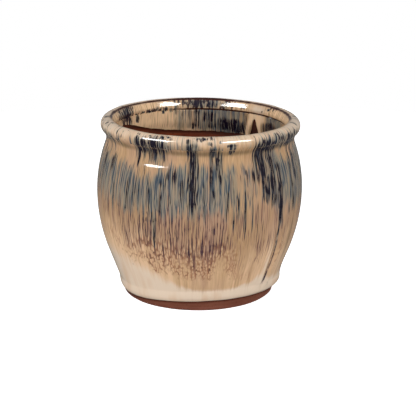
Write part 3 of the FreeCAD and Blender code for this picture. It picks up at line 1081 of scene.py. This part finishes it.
def inner_glaze_band():
    front, back = INSIDE + GLAZE, INSIDE

    def shoulder_turn(inset):
        return SHOULDER_ANGLE - asin((BAND_FOOT - BELLY_HEIGHT) / (SHOULDER_ARC - inset))

    def foot(inset):
        return polar(SHOULDER_CENTRE, SHOULDER_ARC - inset, SHOULDER_ANGLE - shoulder_turn(inset))

    section = Section(seam(front))
    section.arc(NECK_CENTRE, neck_turn(front), 16)
    section.arc(SHOULDER_CENTRE, -shoulder_turn(front), 10)
    section.to(foot(front).lerp(foot(back), 0.5) - Vector((0.0, 0.0, 0.5 * MM)), 3)
    last_shown = len(section.line) - 1
    section.to(foot(back))
    section.arc(SHOULDER_CENTRE, shoulder_turn(back), 4)
    section.arc(NECK_CENTRE, -neck_turn(back), 4)
    section.close()
    section.mark(0, last_shown, -CREST_TO_INNER_EDGE)
    points = Points(turned("inner_glaze_band", section, AROUND))
    depth = wall_radius(points.height) - points.reach
    share = (SEAM_HEIGHT - points.height) / (SEAM_HEIGHT - BAND_FOOT)
    points.height = SEAM_HEIGHT - share * (SEAM_HEIGHT - band_foot(points))
    points.drop = -CREST_TO_INNER_EDGE - (SEAM_HEIGHT - points.height)
    upright = np.where(points.shown > 0.5, np.minimum(points.height, NECK_CENTRE.z), points.height)
    reach = wall_radius(upright) - depth
    points.place = points.outwards * reach[:, None] + points.height[:, None] * UP
    points.store(band_marks(points))
    finish_piece(points, GLAZED, ["inner_glaze"])


turned_foot()
thrown_wall()
rolled_rim()
outer_glaze_coat()
rim_glaze_coat()
inner_glaze_band()

# Studio: white floor and surroundings, a broad soft light at each side and beside it a panel that mirrors
CAMERA_PLACE = Vector((-1.85, -1537.1, 548.4)) * MM
CAMERA_AIM = Vector((10.2, -4.3, 101.0)) * MM
VIEW_ANGLE = radians(18.14)
FLOOR_RADIUS = 1.1
# The floor's glow for the camera sets in from one reach to another, beyond the shadow under the foot
FLOOR_GLOW = 0.8
GLOW_FROM = 60.0 * MM
GLOW_FULL = 75.0 * MM
# The set mirrors in the glaze at less than its own white, as the dark edges of the pot in the photo show
MIRRORED_FLOOR = 0.14
MIRRORED_WHITE = 0.22
AMBIENT = 0.35
# Lights, which don't mirror: name, azimuth (degrees), power (watts), and elevation, distance, size of both
LIGHTS = [("left_light", -52, 17.9), ("right_light", 50, 16.0)]
LIGHT_ELEVATION = 27
LIGHT_DISTANCE = 1.9
LIGHT_SIZE = (1.2, 1.0)
# Panels, which only mirror: name, azimuth, elevation (degrees), width, height (metres), and for both distance
# and power by the square metre
PANELS = [("left_panel", -54, 36, 0.9, 0.45), ("right_panel", 46, 37, 0.85, 0.36)]
PANEL_DISTANCE = 1.6
PANEL_GLOW = 105.0


def camera():
    data = bpy.data.cameras.new("camera")
    data.angle = VIEW_ANGLE
    viewer = bpy.data.objects.new("camera", data)
    viewer.location = CAMERA_PLACE
    viewer.rotation_euler = (CAMERA_AIM - CAMERA_PLACE).to_track_quat("-Z", "Y").to_euler()
    bpy.context.scene.collection.objects.link(viewer)
    bpy.context.scene.camera = viewer


def softbox(name, azimuth, elevation, distance, width, height, power):
    data = bpy.data.lights.new(name, "AREA")
    data.shape = "RECTANGLE"
    data.size, data.size_y = width, height
    data.energy = power
    lamp = bpy.data.objects.new(name, data)
    turn, rise = radians(azimuth), radians(elevation)
    away = Vector((sin(turn) * cos(rise), -cos(turn) * cos(rise), sin(rise)))
    lamp.location = place(0.0, BELLY_HEIGHT) + distance * away
    lamp.rotation_euler = (-away).to_track_quat("-Z", "Y").to_euler()
    bpy.context.scene.collection.objects.link(lamp)
    return lamp


def floor():
    bm = bmesh.new()
    bmesh.ops.create_circle(bm, cap_ends=True, segments=96, radius=FLOOR_RADIUS)
    mesh = bpy.data.meshes.new("floor")
    bm.to_mesh(mesh)
    bm.free()
    piece = bpy.data.objects.new("floor", mesh)
    bpy.context.scene.collection.objects.link(piece)
    # White paper without any gloss, lifted to plain white where the camera sees it beside the pot
    paper = {"Base Color": srgb("#F4F4F4"), "Roughness": 1.0, "Specular IOR Level": 0.0}
    material, tree, shader = new_material("white_paper", paper | {"Emission Color": srgb("#FFFFFF")})
    camera_ray = add(tree, "ShaderNodeLightPath", {}, "Is Camera Ray")
    glossy_ray = add(tree, "ShaderNodeLightPath", {}, "Is Glossy Ray")
    where = add(tree, "ShaderNodeTexCoord", {}, "Object")
    reach = add(tree, VECTOR, {0: where}, "Value", operation="LENGTH")
    ring = {"Value": reach, "From Min": GLOW_FROM, "From Max": GLOW_FULL, "To Max": FLOOR_GLOW}
    glow = add(tree, MATH, {0: camera_ray, 1: add(tree, RANGE, ring)}, operation="MULTIPLY")
    tree.links.new(glow, shader.inputs["Emission Strength"])
    mirrored = add(tree, "ShaderNodeEmission", {"Strength": MIRRORED_FLOOR})
    surface = add(tree, "ShaderNodeMixShader", {0: glossy_ray, 1: shader.outputs[0], 2: mirrored})
    tree.links.new(surface, tree.nodes["Material Output"].inputs["Surface"])
    mesh.materials.append(material)


def surroundings():
    sky = bpy.data.worlds.new("studio")
    sky.use_nodes = True
    tree = sky.node_tree
    background = tree.nodes["Background"]
    background.inputs["Color"].default_value = srgb("#FFFFFF")
    camera_ray = add(tree, "ShaderNodeLightPath", {}, "Is Camera Ray")
    glossy_ray = add(tree, "ShaderNodeLightPath", {}, "Is Glossy Ray")
    clear_ray = add(tree, "ShaderNodeLightPath", {}, "Is Transmission Ray")
    lit = add(tree, RANGE, {"Value": glossy_ray, "To Min": AMBIENT, "To Max": MIRRORED_WHITE})
    seen = add(tree, MATH, {0: camera_ray, 1: clear_ray}, operation="MAXIMUM")
    strength = add(tree, RANGE, {"Value": seen, "To Min": lit, "To Max": 1.0})
    tree.links.new(strength, background.inputs["Strength"])
    bpy.context.scene.world = sky


camera()
floor()
surroundings()
for name, azimuth, power in LIGHTS:
    light = softbox(name, azimuth, LIGHT_ELEVATION, LIGHT_DISTANCE, *LIGHT_SIZE, power)
    light.visible_glossy = False
for name, azimuth, elevation, width, height in PANELS:
    panel = softbox(name, azimuth, elevation, PANEL_DISTANCE, width, height, PANEL_GLOW * width * height)
    panel.visible_diffuse = False
bpy.context.scene.view_settings.view_transform = "Standard"
